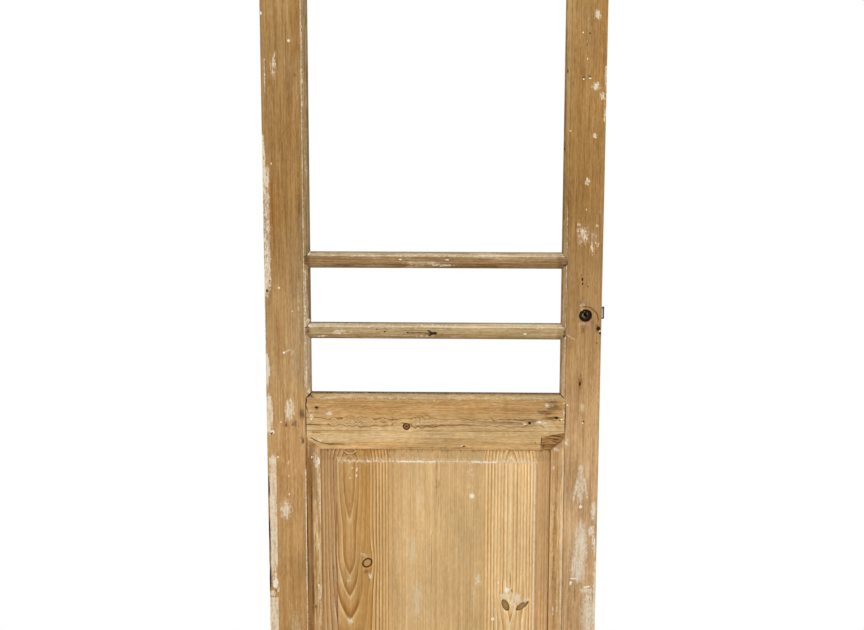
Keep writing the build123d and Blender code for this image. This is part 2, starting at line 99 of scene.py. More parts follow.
class Bench:
    # One material or world in the making: add() puts every node in, and the rest are short ways to call it
    def __init__(self, owner):
        owner.use_nodes = True
        self.owner = owner
        self.tree = owner.node_tree
        self.tree.nodes.clear()

    def add(self, kind, settings, sockets, out=0):
        node = self.tree.nodes.new("ShaderNode" + kind)
        for key, value in settings.items():
            setattr(node, key, value)
        for key, value in sockets.items():
            if isinstance(value, Wire):
                self.tree.links.new(value.socket, node.inputs[key])
            else:
                node.inputs[key].default_value = value
        if isinstance(out, tuple):
            return [Wire(self, node.outputs[one]) for one in out]
        return Wire(self, node.outputs[out]) if node.outputs else None

    def reckon(self, operation, first, second=0.0):
        return self.add("Math", {"operation": operation}, {0: first, 1: second})

    def most(self, wires):
        total = wires[0]
        for wire in wires[1:]:
            total = self.reckon("MAXIMUM", total, wire)
        return total

    def vector(self, operation, first, second=(0, 0, 0), out="Vector"):
        return self.add("VectorMath", {"operation": operation}, {0: first, 1: second}, out)

    def join(self, x, y, z):
        return self.add("CombineXYZ", {}, {0: x, 1: y, 2: z})

    def cloud(self, vector, size, detail, rough):
        # Noise about 0.5, whose patches are about one size across in the vector's own units
        sockets = {"Vector": vector, "Scale": 1 / size, "Detail": detail, "Roughness": rough}
        return self.add("TexNoise", {}, sockets, "Fac")

    def ease(self, value, low, high, start=0.0, end=1.0):
        # Smooth step from start to end as the value goes from low to high
        return self.add("MapRange", {"interpolation_type": "SMOOTHSTEP"},
                        {0: value, 1: low, 2: high, 3: start, 4: end})

    def ramp(self, value, stops):
        # Colour that runs straight between stops of (value, light values)
        low, span = stops[0][0], stops[-1][0] - stops[0][0]
        colour = self.add("ValToRGB", {}, {0: (value - low) / span})
        elements = colour.socket.node.color_ramp.elements
        for place, light in stops[1:-1]:
            elements.new((place - low) / span)
        for element, (place, light) in zip(elements, stops):
            element.color = (*light, 1)
        return colour

    def follow(self, value, stops):
        # Number that runs straight between stops of (value, number), or one number all over
        if not isinstance(stops, list):
            return stops
        top = max(number for place, number in stops)
        return self.ramp(value, [(place, (number / top,) * 3) for place, number in stops]) * top

    def colours(self, value, stops):
        # Colour that runs straight between stops of (value, red, green, blue)
        return self.ramp(value, [(place, linear(colour)) for place, *colour in stops])

    def blend(self, factor, under, over, mode="MIX"):
        under, over = ((*one, 1) if isinstance(one, tuple) else one for one in (under, over))
        return self.add("Mix", {"data_type": "RGBA", "blend_type": mode}, {0: factor, 6: under, 7: over}, 2)

    def tint(self, colour, ratio, share=1.0):
        # The colour times a ratio for each of its channels
        return self.blend(share, colour, ratio, "MULTIPLY")

    def seen(self):
        # 1 where the camera looks, straight, by a reflection or through something clear
        return self.most(self.add("LightPath", {}, {}, ("Is Camera Ray", "Is Glossy Ray", "Is Transmission Ray")))

    def finish(self, colour, rough, height, metallic=0.0, level=0.15):
        # The surface itself: height is in millimetres and feeds the bump
        normal = self.add("Bump", {}, {"Strength": 1.0, "Distance": millimetre, "Height": height})
        surface = self.add("BsdfPrincipled", {}, {"Base Color": colour, "Roughness": rough, "Metallic": metallic,
                                                  "Specular IOR Level": level, "Normal": normal})
        self.add("OutputMaterial", {}, {"Surface": surface})
        return self.owner


class LeafBench(Bench):
    # The bench of a new material on the leaf, with the surface's point in millimetres
    def __init__(self, name):
        super().__init__(bpy.data.materials.new(name))
        place = self.add("TexCoord", {}, {}, "Object")
        self.point = self.vector("MULTIPLY", place, (perMetre,) * 3)
        self.x, self.y, self.z = self.add("SeparateXYZ", {}, {0: self.point}, (0, 1, 2))

    def box(self, ragged, sides):
        # 1 inside an upright box on the front and 0 outside it, over a soft and slightly ragged edge
        xLow, xHigh, zLow, zHigh, edge = sides
        halfWidth, halfHeight = (xHigh - xLow) / 2, (zHigh - zLow) / 2
        sideways = abs(self.x - (xLow + xHigh) / 2) + ragged * edge * 1.5
        upright = abs(self.z - (zLow + zHigh) / 2) + ragged * edge * 8
        inside = self.ease(sideways, halfWidth + edge / 2, halfWidth - edge / 2)
        return inside * self.ease(upright, halfHeight + edge * 2, halfHeight - edge * 2)


print("shader maker ready")

# What lies on the wood, by kind: its height in mm, how soft and ragged its outline is, how far flecks and streaks eat
# into it, how soft that edge is, how much of the wood it covers and how far that varies
markFields = ("colour", "height", "soft", "ragged", "flecks", "streaks", "edge", "cover", "vary")
markKinds = {
    "haze": ((224, 203, 166), 0, 1, 0.8, 0.9, 1.3, 0.4, 0.55, 1),
    "stain": ((86, 56, 30), 0, 1, 0.8, 0.5, 0.9, 0.4, 0.72, 1),
    "rust": ((132, 74, 34), 0, 1, 0.8, 0.7, 0.8, 0.35, 0.7, 1),
    "chalk": ((232, 218, 196), 0, 0.8, 0.7, 1, 0.5, 0.42, 0.68, 1.6),
    "coat": ((234, 216, 188), 0.05, 0.5, 0.5, 1.3, 0.8, 0.28, 0.8, 2.4),
    "flaky": ((231, 215, 187), 0.08, 0.9, 0.9, 2.2, 0.5, 0.16, 0.78, 1.6),
    "paint": ((246, 237, 216), 0.12, 0.5, 0.9, 0.7, 0, 0.14, 0.95, 0.5),
    "crack": ((24, 16, 10), -0.8, 0.45, 0.5, 0.2, 0, 0.25, 0.94, 0),
}

# Shapes that a mark may have, height over width
markShapes = (0.015, 0.04, 0.1, 0.25, 0.5, 1, 2, 4, 10, 25, 60, 150)

# Clouds in the wood: how far each is drawn out along the grain, its size, detail and roughness
woodClouds = {
    "bend": (7, 55, 2, 0.5), "shake": (14, 6, 2, 0.5), "curl": (2.2, 6, 0, 0.5), "fibre": (60, 1.3, 3, 0.7),
    "fine": (34, 3.2, 2, 0.6), "coarse": (20, 11, 3, 0.6), "grit": (4.5, 3.4, 3, 0.7), "pore": (16, 0.5, 2, 0.6),
    "blotch": (2.2, 70, 3, 0.55), "flecks": (1.7, 3.6, 3, 0.7), "streaks": (9, 4.2, 3, 0.65),
    "worn": (3, 24, 4, 0.62),
}
raggedEdge = (6, 4, 0.65)  # size, detail and roughness of the cloud at the edges of marks
raggedAside = 9
seedStep = 137.0  # how far apart two pieces lie in the noise
knotDepth, markDepth = 900, 1e6  # so long through the leaf that depth hardly counts

# How the figure shows: weights in the tone, colour ratios, and relief in mm
figure = {
    "coarse": 1.5, "fine": 1.9, "fibre": 0.9, "grit": 1.2, "darkest": (0.76, 0.68, 0.56),
    "palest": (1.20, 1.25, 1.34), "pores": 0.08, "endGrain": (0.62, 0.52, 0.42), "halo": (1.10, 1.10, 1.06),
    "residue": (228, 212, 180), "ringRelief": 0.08, "fibreRelief": 0.16, "gritRelief": 0.10, "knotRelief": 0.30,
    "rough": 0.74,
}


class PineBench(LeafBench):
    # The bench of one piece of pine, which knows its way along and across the grain
    def __init__(self, name, look):
        super().__init__(name)
        self.look = look
        self.upright = look["grain"] == "z"
        self.along, self.across = (self.z, self.x) if self.upright else (self.x, self.z)
        self.seed = look["seed"] * seedStep
        self.spaces = {}
        aside = self.vector("ADD", self.point, (self.seed, raggedAside, 0))
        self.ragged = self.cloud(aside, *raggedEdge) - 0.5
        self.flecks = self.woodCloud("flecks")
        self.streaks = self.woodCloud("streaks")

    def woodCloud(self, kind, stretch=1.0):
        # Noise about 0, drawn out along the grain by shortening the point there
        drawn, size, detail, rough = woodClouds[kind]
        shorter = 1 / (drawn * stretch)
        factors = (1, 1, shorter) if self.upright else (shorter, 1, 1)
        moved = self.add("VectorMath", {"operation": "MULTIPLY_ADD"},
                         {0: self.point, 1: factors, 2: (self.seed, 0, self.seed)})
        return self.cloud(moved, size, detail, rough) - 0.5

    def inFrame(self, middle, turn, size):
        # The point as seen from a middle, turned in the leaf's plane, in units of the size
        turned = (0, math.radians(turn), 0)
        return self.add("Mapping", {"vector_type": "TEXTURE"},
                        {"Vector": self.point, "Location": middle, "Rotation": turned, "Scale": size})

    def rings(self):
        # Growth rings counted from the pith line: the distance from it, folded to a point there, wandering along the
        # grain and pushed aside by the knots, over the spacing. An eye is the distance from a knot over its size.
        look = self.look
        bend = self.woodCloud("bend") * look["wander"]
        shake = self.woodCloud("shake") * look["tremble"]
        if look["curl"]:
            curlLow, curlHigh, curlPush = look["curl"]
            half = (curlHigh - curlLow) / 2
            curly = self.ease(abs(self.across - (curlLow + curlHigh) / 2), half, half / 2)
            shake = shake + self.woodCloud("curl") * curly * curlPush
        away = self.across - look["pith"]
        eyes = []
        for knotX, knotZ, knotWide, knotHigh, knotTurn, push in look["knots"]:
            middle = (knotX, 0, knotZ)
            inside = self.inFrame(middle, knotTurn, (knotWide, knotDepth, knotHigh))
            eyes.append(self.vector("LENGTH", inside, out="Value") + shake * 0.12)
            drawnWide, drawnHigh = (1, 2.6) if self.upright else (2.6, 1)
            stretched = self.inFrame(middle, 0, (knotWide * drawnWide, knotDepth, knotHigh * drawnHigh))
            far = self.vector("DOT_PRODUCT", stretched, stretched, "Value")
            hold = self.reckon("EXPONENT", far * (-1 / push))
            away = away - (self.across - (knotX if self.upright else knotZ)) * hold
        deep = (self.y - leaf["front"]) + self.follow(self.along, look["depth"])
        sides = abs(away) + look["fold"]
        ring = self.reckon("SQRT", sides * sides + deep * deep) + bend + shake
        if look["rise"]:
            # Rings that close in points beside the pith line, where the wood's layers rise to the face
            beside = away / look["riseWidth"]
            ring = ring + self.follow(self.along, look["rise"]) * self.reckon("EXPONENT", beside * beside * -1)
        return ring / look["spacing"], eyes

    def spot(self, finish, spotX, spotZ, halfWidth, halfHeight, strength=1.0, turn=0):
        # Ellipse as a distance in a copy of the point, turned and stretched to the nearest of markShapes. Spots of
        # one shape and turn share that copy.
        shape = min(markShapes, key=lambda one: abs(math.log(one * halfWidth / halfHeight)))
        size = math.sqrt(halfWidth * halfHeight / shape)
        if (shape, turn) not in self.spaces:
            self.spaces[shape, turn] = self.inFrame((0, 0, 0), turn, (1, markDepth, shape))
        turned = Matrix.Rotation(-math.radians(turn), 3, "Y") @ Vector((spotX, 0, spotZ))
        reach = self.vector("DISTANCE", self.spaces[shape, turn], (turned.x, 0, turned.z / shape), "Value")
        reach = self.add("Math", {"operation": "MULTIPLY_ADD"},
                         {0: self.ragged, 1: finish["ragged"] * size, 2: reach})
        return self.ease(reach, size, size * (1 - finish["soft"]), 0.0, strength)

    def arc(self, arcX, arcZ, radius, halfWidth, strength, turn):
        # Part of a thin ring, round the turn of its middle from +x, that the ragged noise breaks up
        flat = self.join(self.x, 0.0, self.z)
        reach = abs(self.vector("DISTANCE", flat, (arcX, 0, arcZ), "Value") + self.ragged * 3 - radius)
        turn = math.radians(turn)
        ahead = (self.x - arcX) * (math.cos(turn) / radius) + (self.z - arcZ) * (math.sin(turn) / radius)
        return self.ease(reach, halfWidth, 0.0, 0.0, strength) * self.ease(ahead, 0.4, 0.8)

    def addMarks(self, colour, height):
        # Marks are spots, (x, z, half width, half height, strength, turn), the last two left out where 1 and 0.
        # Strips are boxes, (low x, high x, low z, high z, edge, strength). Arcs are (x, z, radius, half width,
        # strength, turn). Paint runs round onto the leaf's edges, dirt and cracks stay on its front.
        front = self.ease(self.y, -5, -6)
        inward = leafMiddle["x"] - abs(self.x - leafMiddle["x"])
        flatFront = front * self.ease(inward, 0.1, 0.5)
        for kind, row in markKinds.items():
            finish = dict(zip(markFields, row))
            spots, boxes, arcs = (self.look[form].get(kind, ()) for form in ("marks", "strips", "arcs"))
            shapes = [self.spot(finish, *spot) for spot in spots]
            shapes += [self.box(self.ragged, sides) * strength for *sides, strength in boxes]
            shapes += [self.arc(*arc) for arc in arcs]
            if not shapes:
                continue
            mask = self.most(shapes)
            level = mask + self.flecks * finish["flecks"] + self.streaks * finish["streaks"]
            mask = self.ease(level, 0.5 - finish["edge"], 0.5 + finish["edge"]) * self.ease(mask, 0.02, 0.25)
            mask = mask * (front if finish["height"] > 0 else flatFront)
            cover = (self.streaks + self.flecks) * finish["vary"] + finish["cover"]
            colour = self.blend(mask * cover, colour, linear(finish["colour"]))
            if finish["height"]:
                height = height + mask * finish["height"]
        return colour, height


# What all the pine shares. Rings: the pith line and how deep it lies, their spacing, how they wander, tremble, curl
# and rise, how late in a ring its dark wood begins, and colour ratios. Knots: (x, z, half width, half height, turn,
# push on the rings). Bands: (low x, high x, low z, high z, edge, broken, colour ratio). Depth and rise go along the
# grain, tones and contrast along x or z. Residue is paint in the pores, length stretches the streaks.
pineBase = {
    "grain": "z", "seed": 0, "pith": 0, "depth": 45, "spacing": 3.4, "wander": 9, "tremble": 0.8, "fold": 0,
    "rise": (), "riseWidth": 30, "late": 0.5, "light": (1.05, 1.07, 1.1), "dark": (0.74, 0.62, 0.46),
    "early": (1.12, 1.15, 1.2), "pale": 0.6, "curl": (), "contrast": 0.6, "contrastAlong": "x", "toneAlong": "z",
    "tones": [(0, 182, 143, 94), (1981, 165, 127, 77)], "knots": (), "marks": {}, "strips": {}, "arcs": {},
    "bands": (), "length": 1, "residue": 0.5, "blotch": 0.22, "streak": 1, "grit": 1,
    "knotTones": [(0, 112, 76, 44), (0.22, 160, 118, 72), (0.5, 168, 124, 76), (0.68, 124, 84, 48), (0.8, 58, 38, 22),
                  (1, 78, 52, 30)],
}


def pine(name, look):
    look = {**pineBase, **look}
    wood = PineBench(name, look)
    axes = {"x": wood.x, "z": wood.z}
    ring, eyes = wood.rings()
    part = wood.reckon("FRACT", ring)
    ringNumber = wood.reckon("FLOOR", ring) + wood.seed
    strength = wood.add("TexWhiteNoise", {"noise_dimensions": "1D"}, {"W": ringNumber}, "Value")
    contrast = wood.follow(axes[look["contrastAlong"]], look["contrast"]) * (strength * 0.7 + 0.4)
    latewood = wood.ease(part, look["late"], 0.88) * wood.ease(part, 1.0, 0.94) * contrast
    earlywood = wood.ease(part, 0.30, 0.02) * contrast

    # Fibres, pores, streaks and slow blotches
    fibre, grit, pore, blotch = (wood.woodCloud(kind) for kind in ("fibre", "grit", "pore", "blotch"))
    fine, coarse = (wood.woodCloud(kind, look["length"]) for kind in ("fine", "coarse"))
    streaky = coarse * figure["coarse"] + fine * figure["fine"] + fibre * figure["fibre"]
    level = 0.5 + streaky * look["streak"] + grit * figure["grit"] * look["grit"]
    tone = wood.colours(axes[look["toneAlong"]], look["tones"])
    colour = wood.tint(tone, wood.blend(level, figure["darkest"], figure["palest"]))
    colour = wood.tint(colour, wood.blend(latewood, look["light"], look["dark"]))
    colour = wood.tint(colour, look["early"], earlywood * look["pale"])
    shade = 1 + blotch * look["blotch"] * 2 - wood.ease(pore, 0.08, 0.22) * figure["pores"]
    colour = wood.tint(colour, wood.join(shade, shade, shade))
    height = latewood * figure["ringRelief"] + fibre * figure["fibreRelief"]
    height = height + grit * figure["gritRelief"] * look["grit"]

    # Bands that are lighter or darker all along
    for *sides, broken, ratio in look["bands"]:
        inside = wood.box(wood.ragged, sides)
        if broken:
            inside = inside * wood.ease(wood.streaks, -0.10, 0.10)
        colour = wood.tint(colour, ratio, inside)

    # End grain at the leaf's own edges takes more dirt
    half = leafMiddle[look["grain"]]
    ends = wood.ease(abs(wood.along - half), half - 0.5, half - 0.1)
    colour = wood.tint(colour, figure["endGrain"], ends)

    # Knots: rings of inner wood inside a dark rim, with paler wood round them
    for reach in eyes:
        halo = wood.ease(reach, 2.0, 1.05) * wood.ease(reach, 0.95, 1.1)
        colour = wood.tint(colour, figure["halo"], halo)
        colour = wood.blend(wood.ease(reach, 1.06, 0.94), colour, wood.colours(reach, look["knotTones"]))
        height = height - wood.ease(reach, 0.62, 0.8) * wood.ease(reach, 1.05, 0.9) * figure["knotRelief"]

    # Thin old paint left in the pores all over, then the marks at their own places
    patchy = wood.woodCloud("worn") + (wood.flecks + wood.streaks) * 0.5
    residue = wood.ease(patchy, 0.08, 0.28) * look["residue"]
    colour = wood.blend(residue * 0.6, colour, linear(figure["residue"]))
    colour, height = wood.addMarks(colour, height)
    return wood.finish(colour, figure["rough"] + fibre * 0.2 + (residue - latewood) * 0.10, height)


# Hinge stile: darkest high up, with chalky old paint along its outer edge and painted shade on its mouldings beside the
# panel and the lights
hingeStile = {
    "seed": 1, "pith": -70, "depth": [(0, 60), (1981, 40)], "spacing": 3, "contrast": 0.35,
    "tones": [(0, 182, 139, 90), (370, 183, 140, 85), (640, 192, 149, 97), (880, 185, 148, 99), (1060, 169, 132, 85),
              (1240, 154, 116, 65), (1430, 163, 124, 73), (1640, 171, 133, 81), (1981, 169, 131, 80)],
    "residue": 0.2, "streak": 0.95, "blotch": 0.36, "grit": 1.5,
    # The dark bands at X 88.6-90.4 and 95-104 beside the lights, and at X 88.6-113 beside the panel, are painted shade
    # in the quirks and on the ovolo and ogee that face away from the light
    "bands": [(89, 105, 812, 1990, 2, 0, (0.98, 1.18, 1.62)), (95, 98, 812, 1990, 1.5, 1, (0.66, 0.62, 0.58)),
              (88.6, 90.4, 818, 1990, 1, 1, (0.7, 0.62, 0.55)), (60, 88, 830, 1250, 14, 0, (0.97, 1.02, 1.12)),
              (16, 40, 880, 1330, 10, 1, (1.02, 0.94, 0.84)), (90, 103, 200, 700, 3, 0, (0.69, 0.63, 0.53)),
              (104, 122, 200, 690, 3, 1, (1.4, 1.75, 2.5)), (103, 113, 560, 705, 3, 1, (0.66, 0.58, 0.5)),
              (104, 122, 200, 690, 3, 0, (1.11, 1.15, 1.22)), (99.5, 104, 818, 1990, 1.5, 1, (0.55, 0.48, 0.42)),
              (99, 104, 985, 1105, 1.5, 0, (0.66, 0.58, 0.5)), (80, 88.5, 830, 1250, 5, 1, (0.86, 0.88, 0.92)),
              (88.6, 90.2, 215, 690, 1, 0, (0.6, 0.52, 0.45)), (17.5, 22, 1200, 1300, 3, 0, (0.88, 0.68, 0.45)),
              (66, 89, 1580, 1720, 8, 1, (0.86, 0.74, 0.52)), (0.4, 2.5, 340, 620, 0.4, 0, (0.4, 0.33, 0.28))],
    "strips": {
        "haze": [(88.2, 90.6, 830, 1990, 1, 0.85)], "chalk": [(-6, 15, 1085, 1335, 6, 0.55)],
        "coat": [(-6, 12, 1085, 1335, 6, 0.44), (-3, 2, 900, 1060, 2, 0.55), (4, 20, 398, 664, 1.5, 1),
                 (-3, 20, 0, 326, 1.5, 1), (7, 10, 1495, 1570, 3, 0.5), (86.6, 89.2, 215, 640, 1.5, 0.85),
                 (88.2, 90.8, 830, 1990, 1.2, 0.38), (91.5, 94, 830, 1100, 2, 0.55)],
    },
    "marks": {
        "haze": [(28, 1550, 13, 62, 0.5), (52, 772, 15, 40, 0.9), (60, 250, 25, 120, 0.5), (62, 912, 14, 7, 0.7, -60),
                 (78, 985, 7, 150, 0.45), (96, 690, 6, 60, 0.6), (40, 540, 20, 44, 0.9), (97, 1330, 5, 190, 0.5),
                 (52, 916, 14, 4, 0.9, -20)],
        "coat": [(0, 1330, 12, 80, 0.8), (4, 1085, 14, 66, 0.85), (0, 872, 13, 46), (4, 768, 16, 52),
                 (54, 780, 15, 34, 0.62), (10, 380, 11, 40, 0.6)],
        "chalk": [(12, 660, 9, 22, 0.8), (40, 537, 16, 32, 0.6)],
        "flaky": [(29, 1562, 11, 34, 0.42), (54, 774, 17, 46, 0.62), (40, 537, 22, 40, 0.56),
                  (52, 916, 13, 4, 0.6, -20), (112, 650, 10, 36, 0.7, -10), (119, 580, 5, 80, 0.75), (20, 346, 7, 10),
                  (8, 335, 10, 11), (110, 702, 14, 7, 1, 30), (48, 652, 4, 14, 0.6), (117, 330, 5, 60, 0.7),
                  (91, 1000, 2, 120, 0.7), (91, 1560, 2, 200, 0.6), (98, 822, 6, 12, 0.9), (98, 985, 6, 8, 0.9)],
        "paint": [(62.5, 1609, 3.4, 4), (33, 1060, 2.6, 2.6), (62, 1007, 2, 2, 0.9), (42, 911, 4, 3.6),
                  (13, 725, 6, 6), (14, 361, 8, 16, 0.9), (32, 749, 2.4, 2.4, 0.9), (24, 666, 2.6, 3.4, 0.9),
                  (49, 577, 2, 3, 0.9), (49, 621, 2, 3, 0.7), (3, 1668, 2.6, 5), (114, 352, 3, 5), (96, 712, 3, 5),
                  (102, 665, 2, 4, 0.9), (117, 655, 3, 12, 0.9, -10), (20, 1340, 2, 3, 0.7)],
        "stain": [(80, 768, 14, 20, 0.9), (64, 742, 14, 8, 0.8, 20), (44, 742, 5, 12, 0.7, 20),
                  (100, 560, 3, 140, 0.9), (102, 330, 4, 110, 0.8), (66, 748, 8, 10, 0.7), (83, 704, 6, 8, 0.9),
                  (107, 301, 5, 9, 0.9), (75, 1535, 8, 10, 0.7), (60, 1500, 3, 160, 0.5), (80, 1250, 5, 160, 0.55),
                  (46, 760, 16, 5, 0.4), (20, 560, 2, 120, 0.4), (2, 585, 5, 28), (2, 480, 4.4, 62), (2, 372, 5.4, 36),
                  (16, 343, 8, 6, 0.8), (82, 706, 9, 15, 0.8)],
        "crack": [(5.6, 1054, 3, 5), (12, 1076, 1.6, 3, 0.7), (1.8, 590, 3.2, 26, 0.62), (1.6, 478, 2.8, 60, 0.6),
                  (1.8, 374, 3.6, 34, 0.62), (11, 722, 2, 5, 0.9, 40), (89.6, 760, 1, 46, 0.9),
                  (97, 811.5, 1.4, 10, 1, 40), (90, 450, 0.7, 240, 0.8), (56, 1600, 0.5, 90, 0.6),
                  (12, 1500, 0.5, 120, 0.5)],
    },
}
dress("hinge_stile", pine("hingeStilePine", hingeStile))
print("hinge stile done")

# Lock stile: spattered with paint, a rubbed ring round the spindle and a chalky foot
lockStile = {
    "seed": 2, "pith": 830, "depth": [(0, 50), (1981, 70)], "spacing": 3.1, "contrast": 0.35, "residue": 0.25,
    "streak": 0.9, "blotch": 0.36, "grit": 1.5,
    "tones": [(0, 194, 156, 110), (300, 193, 155, 110), (450, 198, 162, 118), (560, 198, 161, 117),
              (680, 193, 155, 110), (870, 186, 146, 97), (1060, 166, 129, 81), (1260, 151, 113, 62),
              (1390, 163, 124, 70), (1620, 169, 129, 75), (1981, 168, 128, 76)],
    # The dark bands at X 652-654 and 683-685 are painted shade, in the gap beside the panel and in the quirks
    "bands": [(670, 685, 812, 1990, 2, 0, (1.05, 1.16, 1.34)), (669, 674.5, 812, 1990, 1.5, 1, (0.58, 0.52, 0.46)),
              (683, 685, 812, 1990, 1, 1, (0.66, 0.6, 0.52)), (676, 684.5, 200, 690, 3, 1, (1.25, 1.22, 1.1)),
              (652, 654, 200, 690, 0.8, 0, (0.62, 0.5, 0.4)), (656, 672, 200, 690, 3, 1, (0.98, 0.9, 0.72)),
              (654, 684, 200, 690, 2, 0, (1.16, 1.18, 1.16)), (668, 670, 200, 690, 1, 1, (0.62, 0.52, 0.44)),
              (683.5, 685, 200, 690, 1, 0, (0.55, 0.48, 0.42)), (742, 764, 1300, 1990, 6, 1, (0.94, 0.88, 0.78))],
    "strips": {
        "coat": [(680.5, 682.6, 830, 1250, 1.5, 0.42), (679.8, 682.4, 215, 690, 1, 0.82),
                 (757, 764, 1435, 1555, 3, 0.52), (756, 764, 120, 420, 5, 0.8)],
    },
    "arcs": {"stain": [(724, 990.5, 30.5, 2.6, 1, 46)], "rust": [(724, 990.5, 30.5, 2.6, 0.72, 60)]},
    "marks": {
        "haze": [(722, 980, 26, 16, 0.5), (719, 1024, 9, 18, 0.6), (723, 787, 9, 16, 0.9), (720, 1182, 17, 40, 0.6),
                 (690, 709, 9, 14, 0.9), (738, 640, 12, 40, 0.6), (712, 1180, 8, 30, 0.6)],
        "chalk": [(722, 596, 18, 56, 0.7), (711, 596, 5, 50, 0.8, 10), (734, 600, 5, 46, 0.8, -10),
                  (722, 642, 8, 22, 0.9), (722, 592, 16, 4, 0.7), (725, 458, 22, 92), (720, 405, 28, 50),
                  (724, 505, 7, 30, 0.9), (752, 545, 8, 34), (749, 494, 9, 20), (757, 455, 4, 40), (746, 290, 19, 104),
                  (740, 350, 22, 14, 0.8), (738, 160, 16, 80, 0.8), (712, 1180, 10, 30, 0.6), (742, 1180, 12, 30, 0.3)],
        "rust": [(716, 845, 9, 30), (721, 966, 9, 18, 0.7), (722, 976, 20, 9, 0.6), (715, 1092, 4, 10, 0.7),
                 (717, 637, 3, 5, 0.8), (740, 985, 10, 12, 0.5)],
        "stain": [(718, 1604, 2.2, 12, 0.9), (719, 1583, 2, 5, 0.9), (676.6, 1545, 3, 9), (688, 1600, 2.4, 4, 0.9),
                  (690, 1565, 2, 4, 0.8), (689, 1516, 3, 18, 0.8), (672, 1374, 2.4, 6, 0.9), (726, 1000, 24, 24, 0.6),
                  (664, 450, 6, 330, 0.5), (753, 970, 9, 20, 0.7), (700, 1250, 4, 200, 0.45), (716, 1030, 22, 8, 0.4),
                  (714, 340, 5, 40, 0.6), (711, 1532, 4, 3, 0.6), (724, 1534, 4, 3, 0.6)],
        "flaky": [(740, 1667, 18, 13, 0.8), (737, 1512, 14, 17, 0.88), (754, 1491, 9, 16, 0.85),
                  (738.6, 1404, 8, 8, 0.9), (724, 1302, 8, 15, 1, 10), (720, 1182, 19, 40, 0.6, 10),
                  (706, 1200, 8, 24, 0.56), (737, 1152, 12, 20, 0.58), (748, 1204, 7, 9, 0.56),
                  (748, 1161, 8, 15, 0.58), (726, 450, 16, 80, 0.45), (753, 470, 5, 40, 0.8), (723, 1240, 3, 5, 0.6),
                  (754, 545, 7, 34, 0.82), (753, 490, 6, 28, 0.8), (749, 290, 14, 96, 0.48), (672, 330, 3, 110, 0.5),
                  (688, 705, 7, 16, 0.75), (666, 686, 9, 10, 0.8), (735, 180, 14, 80, 0.5), (664, 300, 3, 40, 0.6)],
        "paint": [(708.5, 1627.5, 2.4, 2.4), (719, 1571, 1.4, 3, 0.9), (711.3, 1526.8, 2.6, 2.2),
                  (725.7, 1528.8, 3.4, 2.2), (718, 1608, 1.2, 3.4, 0.7), (684, 1414, 1.8, 2.2, 0.8),
                  (718, 1012, 2.6, 3, 0.9), (693.5, 950.5, 0.9, 15, 0.55, -60), (689, 793, 2.6, 3.4, 0.9),
                  (724, 751, 2.2, 2.6, 0.9), (759, 965.4, 2.8, 1.8, 0.9), (723.5, 553, 4.4, 6, 0.72),
                  (703.5, 368, 4, 6), (709, 379, 12, 2.2, 0.9), (741, 359, 14, 2.4, 1, -10), (717, 378, 3, 2, 0.8),
                  (661, 642, 1.6, 5, 0.9), (757, 470, 2.6, 8, 0.7), (693, 1900, 3, 5, 0.7)],
        "crack": [(723, 1626, 2.2, 2.2), (717, 1083, 2.6, 5.5), (718, 1073, 1.8, 4.5, 0.9), (719, 1607, 1, 3, 0.7),
                  (730, 1067, 1.8, 2.2, 0.9), (755.4, 971, 5.5, 6.5), (759.6, 960, 3, 3.6),
                  (752.5, 938, 1.8, 2.2, 0.9), (716, 842.6, 3, 5.6), (726, 755, 1.8, 2.4, 0.9),
                  (684.6, 760, 0.9, 44, 0.8), (676.6, 1544, 1.4, 4, 0.9), (677, 813, 1, 10, 0.9, -40),
                  (672.3, 1374, 1.2, 3, 0.9), (711, 1530, 3, 0.9, 0.7), (725, 1532, 3.4, 0.9, 0.8)],
    },
}
dress("lock_stile", pine("lockStilePine", lockStile))
print("lock stile done")

# Top rail, guessed
topRail = {
    "grain": "x", "seed": 3, "pith": 1990, "depth": [(0, 60), (762, 44)], "toneAlong": "x",
    "tones": [(0, 166, 128, 78), (762, 168, 130, 82)], "contrast": 0.5, "residue": 0.7,
}
dress("top_rail", pine("topRailPine", topRail))

